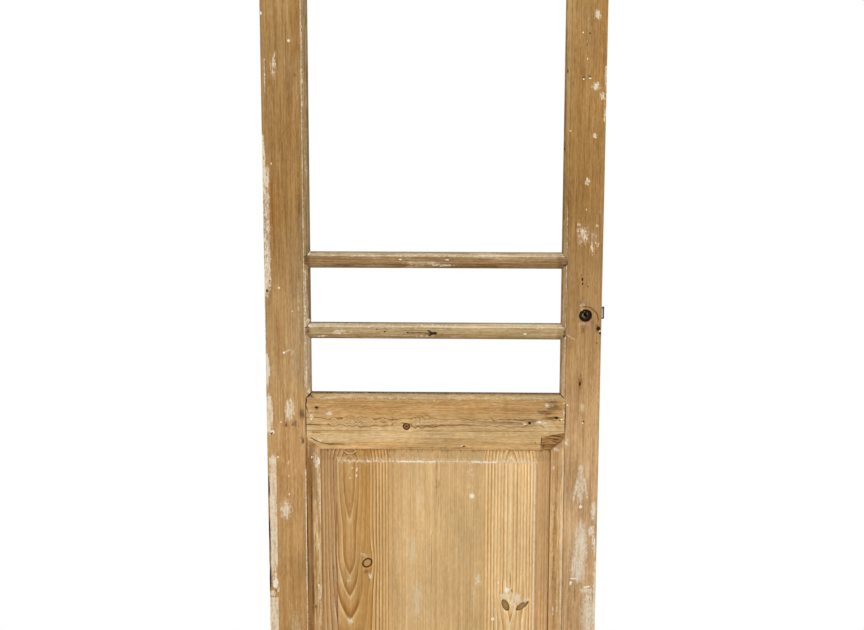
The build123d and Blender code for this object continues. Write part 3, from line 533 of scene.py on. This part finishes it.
# Glazing bars: a top moulding made pale as painted light, above a browner face and a bottom moulding darkened as
# painted shade, with open shakes
upperBar = {
    "grain": "x", "seed": 4, "pith": 1100, "depth": [(0, 40), (762, 46)], "spacing": 2.6,
    # Tones by height: the upward-facing top moulding (Z 1131-1142) is paler as painted light and the bottom moulding (Z
    # 1105.5-1116) darker as painted shade, with a dark line at the top edge
    "tones": [(1105.5, 112, 82, 48), (1108, 146, 116, 76), (1116, 150, 120, 80), (1127, 158, 127, 86),
              (1130, 166, 138, 98), (1132.6, 170, 144, 104), (1134, 204, 186, 152), (1136, 182, 158, 120),
              (1139, 192, 170, 132), (1142, 150, 124, 88)],
    "contrast": 0.8, "residue": 0.7, "grit": 2.2, "streak": 1.5,
    "bands": [(60, 104, 1100, 1150, 6, 0, (0.72, 0.66, 0.58)), (662, 700, 1100, 1128, 6, 0, (0.74, 0.66, 0.58)),
              (300, 425, 1104, 1124, 10, 1, (1.02, 1.1, 1.34)), (430, 640, 1100, 1118, 8, 1, (0.94, 0.88, 0.78)),
              (430, 660, 1100, 1144, 12, 0, (1.08, 1.1, 1.13))],
    # The dark strip along the bottom edge (Z 1104-1106.2) is painted shade under the bar
    "strips": {
        "haze": [(108, 664, 1132.4, 1136.4, 1.5, 0.65)], "flaky": [(150, 640, 1132.6, 1135.6, 1, 0.54)],
        "crack": [(104, 670, 1104, 1106.2, 1, 0.62)],
    },
    "marks": {
        "haze": [(350, 1118, 70, 8, 0.8), (380, 1137, 270, 3, 0.6), (500, 1138, 60, 4, 0.9)],
        "flaky": [(100, 1140, 9, 9), (520, 1136, 70, 3, 0.7), (210, 1135, 60, 3, 0.6), (400, 1113, 60, 5, 0.55)],
        "paint": [(98, 1142, 7, 6), (307, 1126, 4, 2.2, 0.9), (413, 1126, 6, 1.6, 0.8)],
        "stain": [(97, 1124, 9, 14, 0.9), (684, 1120, 8, 14, 0.9), (500, 1110, 180, 4, 0.7), (180, 1112, 90, 5, 0.7)],
        "crack": [(97, 1136, 1.2, 10, 0.8, 40), (677, 1136, 1.2, 10, 0.6, -40), (681, 1112, 3, 8, 0.8, -40)],
    },
}
dress("upper_glazing_bar", pine("upperBarPine", upperBar))

lowerBar = {
    "grain": "x", "seed": 5, "pith": 930, "depth": [(0, 44), (762, 40)], "spacing": 2.8,
    # Tones by height: the upward-facing top moulding (Z 969.5-980) is paler as painted light and the bottom edge (Z
    # 943.5-946) darker as painted shade, with a dark line at the top edge
    "tones": [(943.5, 96, 72, 46), (946, 168, 140, 102), (954, 178, 150, 108), (964, 184, 156, 113),
              (969.5, 188, 160, 118), (972, 224, 207, 172), (974, 202, 179, 140), (977, 208, 188, 150),
              (979, 196, 172, 134), (980, 120, 94, 62)],
    "contrast": 0.7, "residue": 0.7, "grit": 2, "streak": 1.3,
    "bands": [(60, 104, 940, 985, 6, 0, (0.8, 0.76, 0.7)), (662, 700, 940, 966, 6, 0, (0.82, 0.76, 0.7)),
              (450, 660, 940, 985, 12, 0, (1.04, 1.04, 1))],
    # The dark strip along the bottom edge (Z 942-944.6) is painted shade under the bar
    "strips": {
        "haze": [(104, 664, 970.4, 975, 1.5, 1)], "flaky": [(110, 640, 970.6, 974, 1, 0.56)],
        "crack": [(104, 670, 942, 944.6, 1, 0.66), (104, 240, 979, 981, 1, 0.6)],
    },
    "marks": {
        "haze": [(250, 972, 110, 5, 0.6), (520, 972, 120, 5, 0.6), (300, 952, 120, 4, 0.6)],
        "flaky": [(130, 950, 30, 3, 0.66), (103, 972, 8, 7, 0.9), (170, 960, 44, 8, 0.46), (380, 974, 60, 4),
                  (360, 951, 40, 5, 0.48)],
        "paint": [(590, 957.5, 4, 2.4), (98, 976, 6, 5, 0.9)],
        "stain": [(376, 958, 26, 6, 0.9), (272, 961, 5, 3, 0.9), (97, 962, 7, 12, 0.8), (680, 960, 8, 12, 0.8),
                  (300, 950, 160, 3, 0.6), (330, 958, 50, 4, 0.6)],
        "crack": [(350, 958.6, 40, 1, 0.85), (373.5, 962.4, 9, 2, 1, 30), (375.5, 954, 8, 2, 1, -30),
                  (384.5, 958.2, 10, 3.6), (379, 958.2, 7, 3.4), (272, 961, 2.4, 1.6), (324, 959.6, 3, 2),
                  (97, 974, 1.2, 10, 0.8, 40), (677, 974, 1.2, 10, 0.6, -40), (680, 950, 3, 8, 0.9, -40),
                  (254, 966.6, 3, 1.6, 0.9)],
    },
}
dress("lower_glazing_bar", pine("lowerBarPine", lowerBar))
print("glazing bars done")

# Lock rail: golden, with a small knot in curly grain and open mitres
lockRail = {
    "grain": "x", "seed": 6, "pith": 751, "depth": 18, "fold": 1.5, "riseWidth": 12,
    "rise": [(90, 14.5), (148, 14.5), (156, 18.3), (160, 14.5), (176, 15.2), (183, 19.4), (188, 16.2), (196, 21),
             (205, 15.4), (216, 21.5), (224, 17.6), (234, 20.2), (246, 14.5), (256, 15), (268, 17.5), (278, 14.2),
             (300, 13.6), (334, 14.5), (342, 19), (348, 15.5), (357, 21), (366, 15), (382, 19), (398, 14.5), (600, 15),
             (762, 15)],
    "spacing": 4.4, "wander": 6, "tremble": 1.5, "late": 0.6, "dark": (0.5, 0.4, 0.28), "curl": (738, 764, 5),
    # Tones by height: the ogee along the bottom (Z 683-714) and the upward-facing ovolo along the top (Z 803-813) are
    # paler as painted light, with a dark line at the top edge
    "tones": [(683, 206, 164, 106), (695, 225, 186, 127), (714, 213, 177, 123), (727, 211, 176, 123),
              (745, 200, 165, 115), (768, 194, 152, 97), (790, 194, 150, 94), (803, 190, 152, 98),
              (807, 202, 168, 116), (813, 200, 170, 120), (818, 140, 108, 70)],
    "contrastAlong": "z", "contrast": [(683, 0.5), (725, 0.35), (735, 1.3), (760, 1.3), (768, 0.3), (818, 0.35)],
    "grit": 2, "streak": 0.8, "residue": 0.6, "pale": 0.8, "blotch": 0.42, "knots": [(321, 741, 8.5, 9, 0, 1.6)],
    "knotTones": [(0, 46, 30, 18), (0.2, 70, 46, 28), (0.38, 150, 108, 66), (0.58, 146, 104, 62), (0.74, 60, 38, 22),
                  (1, 84, 56, 32)],
    "marks": {
        "haze": [(225, 714, 85, 3), (145, 770, 16, 12, 0.8), (147, 807, 32, 3.4), (430, 808, 190, 2.4, 0.6),
                 (350, 716, 200, 3, 0.7), (640, 745, 30, 20, 0.6)],
        "flaky": [(103, 762, 6, 12), (120, 702, 14, 7, 1, -20), (145, 768, 14, 10, 0.6), (628, 752, 26, 13, 0.48),
                  (681, 775, 4, 36, 0.6), (668, 726, 14, 14, 0.5), (645, 793, 24, 10, 0.5), (150, 806.5, 30, 2.4, 0.9),
                  (215, 714, 60, 1.8, 0.9)],
        "paint": [(102, 756, 3, 3), (592, 748, 5, 2.2, 0.8), (626, 753, 5, 2.6, 0.8), (676, 759, 3, 3, 0.9),
                  (122, 704, 4, 2.4, 1, 20), (118, 709, 5, 1.6, 0.9, 20), (448, 693.5, 7, 1.2, 0.8)],
        "stain": [(115, 783, 9, 9), (190, 788, 90, 11, 0.45), (103, 810, 9, 6, 0.9, 40), (660, 786, 34, 16, 0.8),
                  (612, 754, 30, 9, 0.7), (603, 751, 8, 6, 0.9), (160, 696, 40, 4, 0.8), (110, 725, 20, 7, 0.5),
                  (400, 687, 270, 3, 0.6), (664, 763, 12, 8, 0.8), (420, 745, 90, 1.2), (540, 748, 80, 1.2, 0.9),
                  (470, 757, 60, 1, 0.9, 10), (640, 775, 34, 9), (655, 800, 30, 6, 0.8), (650, 762, 34, 6, 0.9),
                  (590, 757, 40, 5, 0.7)],
        "crack": [(115, 783.5, 3.6, 3.2), (97.5, 811.5, 2, 11, 1, 40), (91, 797, 1.9, 9, 1, 10),
                  (92.5, 781, 1.2, 9, 0.9, -10), (108, 743.6, 18, 0.9), (603, 750.6, 4.2, 4.2), (664, 763, 4.6, 4.2),
                  (672, 757, 4, 1, 0.9, 10), (540, 752, 60, 0.8, 0.9), (375, 742, 60, 0.7, 0.7), (453, 691, 4.2, 2.2),
                  (617, 703.6, 2, 2), (110, 706, 16, 1.6, 0.9, 30), (126, 699, 11, 1.5, 0.9, 20),
                  (142, 695, 18, 1.2, 0.8, 10), (683.4, 760, 0.9, 44, 0.9), (676, 813, 0.9, 10, 0.9, -40),
                  (90.6, 740, 0.8, 40, 0.8)],
    },
    "strips": {
        "crack": [(92, 684, 817.2, 820, 0.8, 0.8)],
        "haze": [(110, 660, 805, 811, 2.5, 0.35), (130, 290, 711, 717, 3, 0.9)],
        "flaky": [(110, 660, 804, 808, 2, 0.45)],
    },
    "arcs": {
        "crack": [(334, 755, 9, 1, 0.62, 10), (343, 756, 9, 1, 0.62, 20), (352, 756, 10, 1, 0.62, 25),
                  (366, 756, 11, 1, 0.55, 40), (280, 757, 9, 1, 0.6, 0)],
    },
}
dress("lock_rail", pine("lockRailPine", lockRail))

# Repair let into the lock rail: a darker wood with black seams
patch = {
    "grain": "x", "seed": 7, "pith": 700, "depth": 30, "spacing": 2.4, "toneAlong": "x",
    "tones": [(629, 180, 137, 83), (684, 166, 122, 72)], "contrast": 1, "residue": 0.1, "grit": 2.4, "streak": 1.6,
    "late": 0.4, "dark": (0.6, 0.46, 0.32),
    "marks": {
        "crack": [(630, 704, 1.5, 18), (655, 721.5, 32, 1.5, 1, 10), (668, 702, 20, 1, 0.7, -30),
                  (655, 714, 24, 1, 0.66, 10), (640, 705, 10, 1.2, 0.62, -20), (652, 697, 16, 0.9, 0.56, 10),
                  (662, 706, 14, 0.9, 0.62, 20)],
        "stain": [(636, 695, 8, 12, 0.8), (655, 686, 30, 4, 0.9), (662, 712, 14, 3, 0.8)],
    },
}
dress("lock_rail_patch", pine("patchWood", patch))

bottomRail = {
    "grain": "x", "seed": 8, "pith": 60, "depth": [(0, 40), (762, 52)], "toneAlong": "x", "spacing": 4.2,
    "tones": [(0, 188, 150, 102), (762, 194, 158, 112)], "residue": 0.9, "knots": [(512, 118, 11, 10, 0, 1.6)],
    "marks": {"stain": [(380, 8, 330, 16, 0.7)], "flaky": [(160, 60, 40, 20, 0.8), (600, 40, 60, 14, 0.8)]},
}
dress("bottom_rail", pine("bottomRailPine", bottomRail))
print("rails done")

# Panel: the same bevels on every board, and the same cream line along the field's top edge, old paint with a painted
# highlight
fieldEdgePaintAndHighlight = {
    "paint": [(299, 388, 654, 657, 0.8, 0.9), (470, 530, 654, 657, 0.8, 0.85)],
    "haze": [(158, 622, 653, 664, 3, 0.55), (158, 622, 654, 657.6, 1, 1)], "coat": [(158, 622, 654, 657.6, 1.2, 0.55)],
}
panelBoard = {
    "toneAlong": "x", "strips": fieldEdgePaintAndHighlight,
    # The dark bands along the field's border, under the rail at Z 678-690, beside the lock stile at X 651-654 and
    # beside the hinge stile at X 119-121.6, are painted shade in the gaps against the mouldings
    "bands": [(112, 660, 657, 690, 1, 0, (0.88, 0.88, 0.86)), (112, 660, 678, 690, 2, 1, (0.66, 0.58, 0.5)),
              (651, 654, 200, 690, 0.8, 0, (0.46, 0.36, 0.28)), (119, 121.6, 200, 690, 1, 1, (0.6, 0.52, 0.44)),
              (150, 153.5, 240, 655, 1.5, 1, (1.15, 1.26, 1.45)), (156.5, 159.5, 240, 655, 1, 1, (0.62, 0.5, 0.38))],
}

# V-shaped grain beside a knot
hingeBoard = {
    **panelBoard, "seed": 11, "pith": 188, "length": 2.5, "depth": 16, "fold": 3, "riseWidth": 38,
    "rise": [(180, 38), (200, 35.8), (267, 28.8), (327, 21.8), (381, 14.8), (399, 12.2), (417, 9.9), (435, 9),
             (500, 8.5), (512, 7.8), (525, 6.9), (543, 5.4), (582, 2.7), (652, 0.9), (700, 0.9)],
    "spacing": 7, "wander": 1.5, "tremble": 0.5, "late": 0.44, "dark": (0.66, 0.49, 0.3), "early": (1.3, 1.55, 2),
    "pale": 1, "streak": 0.7,
    "knotTones": [(0, 178, 134, 82), (0.3, 196, 152, 98), (0.62, 184, 138, 86), (0.76, 70, 44, 24), (0.9, 56, 36, 22),
                  (1, 124, 86, 48)],
    "tones": [(112, 191, 151, 99), (158, 192, 152, 104), (165, 198, 154, 97), (205, 195, 150, 89), (234, 190, 142, 79),
              (240, 204, 161, 101), (279, 208, 166, 108)],
    "contrast": [(112, 0.6), (160, 1), (205, 1), (212, 0.35), (234, 0.4), (240, 1.4), (279, 1.4)],
    "knots": [(229, 411.5, 10.8, 13.5, 48, 1.8)], "residue": 0.25,
    "arcs": {
        "stain": [(190, 690, 8, 1.6, 1, -90), (190, 690, 14, 1.4, 0.9, -90), (190, 690, 21, 1.6, 0.8, -90)],
        "haze": [(190, 690, 11, 1.6, 0.9, -90), (190, 690, 18, 1.6, 0.9, -90)],
    },
    "marks": {
        "paint": [(195, 640, 1.8, 4, 0.8, 10), (206, 636, 1.8, 6, 0.8, 10), (205, 622, 2, 5, 0.8),
                  (190, 616, 2, 2.6, 0.7), (232, 655, 4, 1.6, 0.9)],
        "flaky": [(235, 380, 5, 13), (188, 268, 11, 8, 0.8), (127, 520, 4, 50, 0.8), (123, 620, 4, 30, 0.8)],
        "haze": [(222, 430, 12, 8, 1, 30), (187, 368, 12, 14, 0.7), (188, 268, 14, 16), (163, 657, 8, 7)],
        "stain": [(226, 390, 13, 12, 0.62), (150, 400, 6, 260, 0.4)], "crack": [(158, 300, 0.9, 40, 0.8)],
    },
}
dress("panel_board_hinge_side", pine("hingeBoardPine", hingeBoard))

# Two quiet boards in the middle
quietBoard = {
    **panelBoard, "depth": 90, "spacing": 3.8, "wander": 3, "tremble": 0.6, "length": 3, "residue": 0.3, "streak": 0.6,
}
middleLeftBoard = {
    **quietBoard, "seed": 12, "pith": 760, "tones": [(279, 213, 172, 116), (330, 216, 180, 128), (391, 214, 178, 124)],
    "contrast": [(279, 0.5), (391, 0.4)],
    "marks": {
        "crack": [(391, 645, 0.7, 14, 0.7), (379, 400, 0.5, 100, 0.5)],
        "haze": [(335, 440, 12, 70), (345, 320, 16, 90), (350, 560, 9, 60, 0.7), (300, 420, 8, 90, 0.5)],
        "stain": [(390, 590, 3, 60, 0.6), (379, 440, 2, 120, 0.5)],
    },
}
dress("panel_board_middle_left", pine("middleLeftPine", middleLeftBoard))

middleRightBoard = {
    **quietBoard, "seed": 13, "pith": 200,
    "tones": [(391, 211, 175, 121), (450, 207, 171, 118), (480, 211, 175, 123), (502, 216, 179, 125)], "contrast": 0.4,
    "marks": {
        "paint": [(472, 575, 6.5, 8)], "haze": [(488, 372, 13, 34), (480, 330, 8, 60, 0.5), (440, 420, 12, 120, 0.4)],
        "flaky": [(488, 374, 11, 26, 0.58), (466, 600, 8, 10, 0.5), (470, 632, 20, 16, 0.42)],
        "crack": [(396, 604, 0.7, 14, 0.7)], "stain": [(470, 600, 10, 30, 0.3), (395, 560, 3, 60, 0.5)],
    },
}
dress("panel_board_middle_right", pine("middleRightPine", middleRightBoard))

# Boldly striped, with two leaning knots
lockBoard = {
    **panelBoard, "seed": 14, "pith": 562, "depth": 4, "fold": 3, "riseWidth": 24,
    "rise": [(180, 15), (240, 14.5), (268, 13.1), (318, 5.9), (350, 0), (700, 0)], "spacing": 7.2, "wander": 3,
    "tremble": 0.7, "late": 0.4, "length": 2.5, "streak": 0.6, "early": (1.18, 1.42, 1.9), "pale": 1,
    "tones": [(502, 224, 186, 128), (560, 230, 194, 139), (614, 226, 188, 131), (620, 206, 165, 113),
              (653, 198, 158, 107)],
    "contrast": [(502, 1.2), (560, 1), (614, 1.2), (620, 0.4), (653, 0.4)], "dark": (0.76, 0.56, 0.35),
    "knots": [(552.5, 311, 8, 15, -25, 1.4), (591.5, 310, 6.8, 18, 52, 1.4)], "residue": 0.2,
    "knotTones": [(0, 146, 112, 72), (0.25, 176, 142, 96), (0.45, 134, 100, 62), (0.62, 170, 134, 90),
                  (0.8, 120, 88, 54), (0.92, 92, 64, 38), (1, 146, 110, 70)],
    "marks": {
        "paint": [(555, 348, 7.5, 8.5), (535.5, 366, 3, 4.4, 0.9), (523, 276, 4.4, 6, 0.9)],
        "flaky": [(553, 333, 18, 12), (580, 329, 20, 15), (600, 322, 12, 8, 0.9, -30), (571, 316, 9, 20, 0.8),
                  (527, 300, 4, 12, 0.6)],
        "haze": [(560, 332, 26, 18), (582, 326, 26, 18), (570, 298, 14, 20, 0.8)],
        "crack": [(563, 372, 1, 22, 0.8), (567, 346, 1.4, 5, 0.8, -20)],
    },
    # Beside the field's right edge the same cream line again: old paint with a painted highlight
    "strips": {
        "paint": fieldEdgePaintAndHighlight["paint"], "haze": fieldEdgePaintAndHighlight["haze"] + [(614.6, 619, 240, 650, 1, 1)],
        "coat": fieldEdgePaintAndHighlight["coat"] + [(615.2, 618.8, 240, 656, 0.8, 0.95)],
    },
}
dress("panel_board_lock_side", pine("lockBoardPine", lockBoard))
print("panel done")

# Wedges: end grain at the stiles' edges, a little darker than the tenons
wedge = {
    "grain": "x", "seed": 15, "depth": 30, "spacing": 2.2, "toneAlong": "x",
    "tones": [(0, 150, 112, 70), (762, 150, 112, 70)], "residue": 0.6,
}
wedgeWood = pine("wedgeWood", wedge)
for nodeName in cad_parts:
    if "wedges" in nodeName:
        dress(nodeName, wedgeWood)
print("wedges done")


# Latch metal: blackened iron with brown rust, and the worn bright bolt
def iron(name, look):
    bench = LeafBench(name)
    patchy = bench.cloud(bench.point, look["patch"], 5, 0.62)
    grit = bench.cloud(bench.point, 0.7, 3, 0.6)
    rust = bench.ease(patchy + (grit - 0.5) * 0.3, look["rustFrom"], look["rustFrom"] + 0.12)
    colour = bench.blend(rust, linear(look["bare"]), linear(look["rust"]))
    colour = bench.blend(bench.ease(grit, 0.55, 0.72) * 0.5, colour, linear(look["dirt"]))
    # Darker boxes along the bolt's right, top and bottom edges
    for edgeBox in look.get("darkEdges", ()):
        colour = bench.blend(bench.box(patchy - 0.5, edgeBox) * 0.92, colour, linear(look["edgeDark"]))
    rough = look["rough"] + rust * (0.85 - look["rough"])
    metallic = look["metallic"] * (1 - rust)
    return bench.finish(colour, rough, rust * 0.08 + grit * 0.12, metallic, look["gloss"])


blackIron = {
    "bare": (24, 20, 18), "rust": (112, 84, 56), "dirt": (15, 12, 10), "rough": 0.6, "metallic": 0.3, "gloss": 0.25,
    "patch": 6, "rustFrom": 0.56,
}
dullSteel = {
    "bare": (120, 112, 102), "rust": (104, 72, 48), "dirt": (48, 40, 32), "rough": 0.42, "metallic": 0.9, "patch": 9,
    "rustFrom": 0.55, "gloss": 0.5,
}
brightBolt = {
    "bare": (190, 184, 172), "rust": (120, 92, 66), "dirt": (70, 58, 46), "rough": 0.34, "metallic": 0.85, "patch": 8,
    "rustFrom": 0.6, "edgeDark": (34, 29, 25),
    "darkEdges": [(766.6, 772, 985, 1022, 1.2), (760, 772, 1013.6, 1022, 1), (760, 772, 985, 993, 1)], "gloss": 0.5,
}
rustyHub = {
    "bare": (22, 18, 15), "rust": (172, 140, 98), "dirt": (12, 9, 8), "rough": 0.6, "metallic": 0.2, "gloss": 0.25,
    "patch": 5, "rustFrom": 0.48,
}
latchFinishes = {
    "latch_case": ("caseIron", blackIron), "latch_case_cover": ("coverIron", blackIron),
    "forend_plate": ("forendSteel", dullSteel), "forend_screws": ("screwSteel", dullSteel),
    "latch_bolt": ("boltSteel", brightBolt), "latch_follower": ("hubIron", rustyHub),
}
for nodeName, (metalName, look) in latchFinishes.items():
    dress(nodeName, iron(metalName, look))

# Dark plug that closes the back of the follower's square socket, so no light shows through it
socketPlug = {
    "centre": (726, 1000), "half": 3.95, "front": 2.4, "back": 7.2, "square": 8, "swell": 0.9, "tone": (20, 16, 13),
    "rings": 9, "around": 48, "lobes": 3, "twist": 4, "wave": 0.7, "dust": (62, 47, 33), "gloss": 0.4,
}


def addSocketPlug(look):
    # Squared circles round the socket's line that grow to its half side, with a wavy front and a flat back
    turns = np.linspace(0, 2 * np.pi, look["around"], endpoint=False)
    share = np.linspace(0, 1, look["rings"] + 1)[1:, None]
    power = look["square"]
    squared = (np.abs(np.cos(turns)) ** power + np.abs(np.sin(turns)) ** power) ** (-1 / power)
    radius = share * squared * look["half"]
    middleX, middleZ = look["centre"]
    x = middleX + radius * np.cos(turns)
    z = middleZ + radius * np.sin(turns)
    waves = np.sin(look["lobes"] * turns + look["twist"] * share) * look["wave"] * share * (1 - share)
    front = look["front"] + look["swell"] * share ** 2 + waves
    frontRings = np.stack([x, front, z], -1)
    backRings = np.stack([x, look["back"] + 0 * x, z], -1)[::-1]
    points = np.concatenate([
        [(middleX, look["front"], middleZ)], frontRings.reshape(-1, 3),
        backRings.reshape(-1, 3), [(middleX, look["back"], middleZ)],
    ]) * millimetre
    here = np.arange(look["around"])
    after = np.roll(here, -1)
    starts = 1 + np.arange(2 * look["rings"])[:, None] * look["around"]
    quads = np.stack([starts[:-1] + here, starts[1:] + here, starts[1:] + after, starts[:-1] + after], -1)
    first = np.stack([1 + here, 1 + after, 0 * here], -1)
    last = np.stack([starts[-1] + after, starts[-1] + here, 0 * here + len(points) - 1], -1)
    mesh = bpy.data.meshes.new("socket_plug")
    mesh.from_pydata(points.tolist(), [], first.tolist() + quads.reshape(-1, 4).tolist() + last.tolist())
    lump = addObject("socket_plug", mesh)
    bench = LeafBench("darkSocketPlug")
    grains = bench.cloud(bench.point, 1.4, 4, 0.6)
    colour = bench.blend(bench.ease(grains, 0.5, 0.75), linear(look["tone"]), linear(look["dust"]))
    mesh.materials.append(bench.finish(colour, 0.55 + grains * 0.3, grains * 0.3, 0.0, look["gloss"]))
    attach(lump, "follower")


addSocketPlug(socketPlug)
print("latch done")

# Worn arrises on all the wood: welded and lightly rounded, without touching the mesh
worn = {"weld": 0.02, "round": 0.7, "steps": 2, "turn": 38}
for nodeName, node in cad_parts.items():
    if nodeName.startswith(("latch", "forend")):
        continue
    weld = node.modifiers.new("weld", "WELD")
    weld.merge_threshold = worn["weld"] * millimetre
    soften = node.modifiers.new("soften", "BEVEL")
    soften.width = worn["round"] * millimetre
    soften.segments = worn["steps"]
    soften.limit_method = "ANGLE"
    soften.angle_limit = math.radians(worn["turn"])
    soften.use_clamp_overlap = True
print("arrises worn")

# Floor and light, in metres: a pale floor that fades to white, and three soft lamps
studio = {
    "floorSize": 14, "floorTone": (236, 234, 230), "fadeFrom": 0.25, "fadeTo": 0.62, "world": 0.5,
    "aim": (0.381, 0, 0.95),
    "lamps": {
        "key": {"place": (-1, -3.4, 3.6), "size": 2.4, "power": 73},
        "fill": {"place": (2.6, -2.8, 1.6), "size": 2.4, "power": 22.5},
        "back": {"place": (0.9, 3.2, 2.8), "size": 2.4, "power": 60},
    },
}


def addFloor(look):
    middle = leafMiddle["x"] * millimetre
    half = look["floorSize"] / 2
    corners = [(middle + x * half, y * half, 0) for x, y in ((-1, -1), (1, -1), (1, 1), (-1, 1))]
    mesh = bpy.data.meshes.new("floor")
    mesh.from_pydata(corners, [], [(0, 1, 2, 3)])
    floor = addObject("floor", mesh)
    bench = Bench(bpy.data.materials.new("floorPaper"))
    place = bench.add("TexCoord", {}, {}, "Object")
    x, y = bench.add("SeparateXYZ", {}, {0: place}, (0, 1))
    sideways = bench.reckon("MAXIMUM", abs(x - middle) - middle, 0.0)
    reach = bench.reckon("SQRT", sideways * sideways + y * y)
    fade = bench.ease(reach, look["fadeFrom"], look["fadeTo"]) * bench.seen()
    paper = bench.add("BsdfPrincipled", {}, {"Base Color": (*linear(look["floorTone"]), 1), "Roughness": 0.9})
    white = bench.add("Emission", {}, {"Color": (1, 1, 1, 1), "Strength": 1.0})
    surface = bench.add("MixShader", {}, {0: fade, 1: paper, 2: white})
    bench.add("OutputMaterial", {}, {"Surface": surface})
    mesh.materials.append(bench.owner)


def addWorld(look):
    world = bpy.data.worlds.new("studioWorld")
    bpy.context.scene.world = world
    bench = Bench(world)
    light = bench.add("Background", {}, {"Color": (1, 1, 1, 1), "Strength": look["world"]})
    white = bench.add("Background", {}, {"Color": (1, 1, 1, 1), "Strength": 1.0})
    surface = bench.add("MixShader", {}, {0: bench.seen(), 1: light, 2: white})
    bench.add("OutputWorld", {}, {"Surface": surface})


def addLamp(name, look, aim):
    data = bpy.data.lights.new(name, "AREA")
    data.shape = "SQUARE"
    data.size = look["size"]
    data.energy = look["power"]
    lamp = addObject(name, data)
    lamp.location = look["place"]
    lamp.rotation_euler = (Vector(aim) - Vector(look["place"])).to_track_quat("-Z", "Y").to_euler()


addFloor(studio)
addWorld(studio)
for lampName, lampLook in studio["lamps"].items():
    addLamp(lampName, lampLook, studio["aim"])
print("studio lit")
